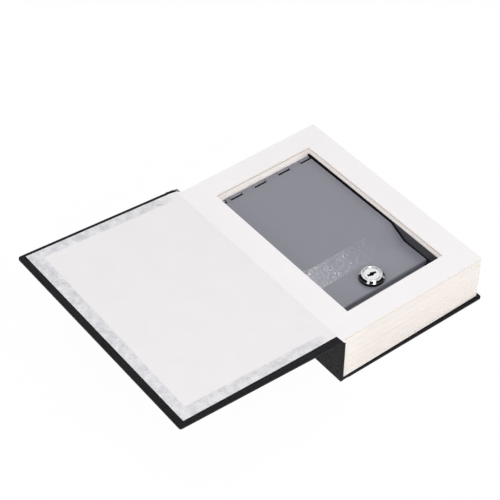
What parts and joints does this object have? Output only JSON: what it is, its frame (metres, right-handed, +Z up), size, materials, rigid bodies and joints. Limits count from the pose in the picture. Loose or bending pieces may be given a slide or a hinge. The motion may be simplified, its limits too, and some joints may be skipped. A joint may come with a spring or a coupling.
{
  "type": "book diversion safe",
  "caption": "Hardback book with pages cut out round a steel cash box; the cover opens on a cloth joint and a hinged lid closes with a cam lock.",
  "frame": {"origin": "middle of the page block's footprint, on the flat underside of the back cover", "axes": "+X from the spine to the fore-edge, +Y from the tail to the head, +Z up; the front cover lies open towards -X"},
  "size_m": [0.3167, 0.2266, 0.0654],
  "materials": {
    "board": "matte grey bookbinding board",
    "cover_cloth": "black grained imitation leather, satin",
    "endpaper": "matte white paper",
    "card": "matte white card",
    "pages": "matte cream page edges with fine leaf lines",
    "coated_steel": "grey powder coat, satin with a fine texture",
    "bare_steel": "zinc plated, satin",
    "lock_chrome": "bright chrome side, satin face",
    "wafer_brass": "plain"
  },
  "bodies": {
    "book": {"back_board": "board", "back_cover_cloth": "cover_cloth", "back_pastedown": "endpaper", "spine_board": "board", "spine_cloth": "cover_cloth", "page_block": "pages", "top_card": "card", "front_flyleaf": "endpaper", "box_shell": "coated_steel", "strike_ledge": "coated_steel", "hinge_pin": "bare_steel"},
    "front_cover": {"front_board": "board", "front_cover_cloth": "cover_cloth", "front_pastedown": "endpaper"},
    "lid": {"lid": "coated_steel", "lock_housing": "lock_chrome", "lock_washer": "bare_steel", "lock_nut": "bare_steel"},
    "lock_plug": {"lock_plug": "lock_chrome", "cam": "bare_steel", "cam_washer": "bare_steel", "cam_nut": "bare_steel"},
    "wafer_1": {"wafer_1": "wafer_brass"},
    "wafer_2": {"wafer_2": "wafer_brass"},
    "wafer_3": {"wafer_3": "wafer_brass"},
    "wafer_4": {"wafer_4": "wafer_brass"}
  },
  "joints": [
    {"name": "cover_joint", "type": "hinge", "parent": "book", "child": "front_cover", "pos_m": [-0.0797, 0, 0.0494], "axis": [0, -1, 0], "range_deg": [-174.4, 5.6]},
    {"name": "lid_hinge", "type": "hinge", "parent": "book", "child": "lid", "pos_m": [0, 0.08565, 0.0377], "axis": [-1, 0, 0], "range_deg": [0, 90]},
    {"name": "plug_turn", "type": "hinge", "parent": "lid", "child": "lock_plug", "pos_m": [-0.001, -0.0585, 0.03105], "axis": [0, 0, 1], "range_deg": [0, 90]},
    {"name": "wafer_1_slide", "type": "slide", "parent": "lock_plug", "child": "wafer_1", "axis": [1, 0, 0], "range_m": [0, 0.0006]},
    {"name": "wafer_2_slide", "type": "slide", "parent": "lock_plug", "child": "wafer_2", "axis": [-1, 0, 0], "range_m": [0, 0.0006]},
    {"name": "wafer_3_slide", "type": "slide", "parent": "lock_plug", "child": "wafer_3", "axis": [1, 0, 0], "range_m": [0, 0.0006]},
    {"name": "wafer_4_slide", "type": "slide", "parent": "lock_plug", "child": "wafer_4", "axis": [-1, 0, 0], "range_m": [0, 0.0006]}
  ]
}
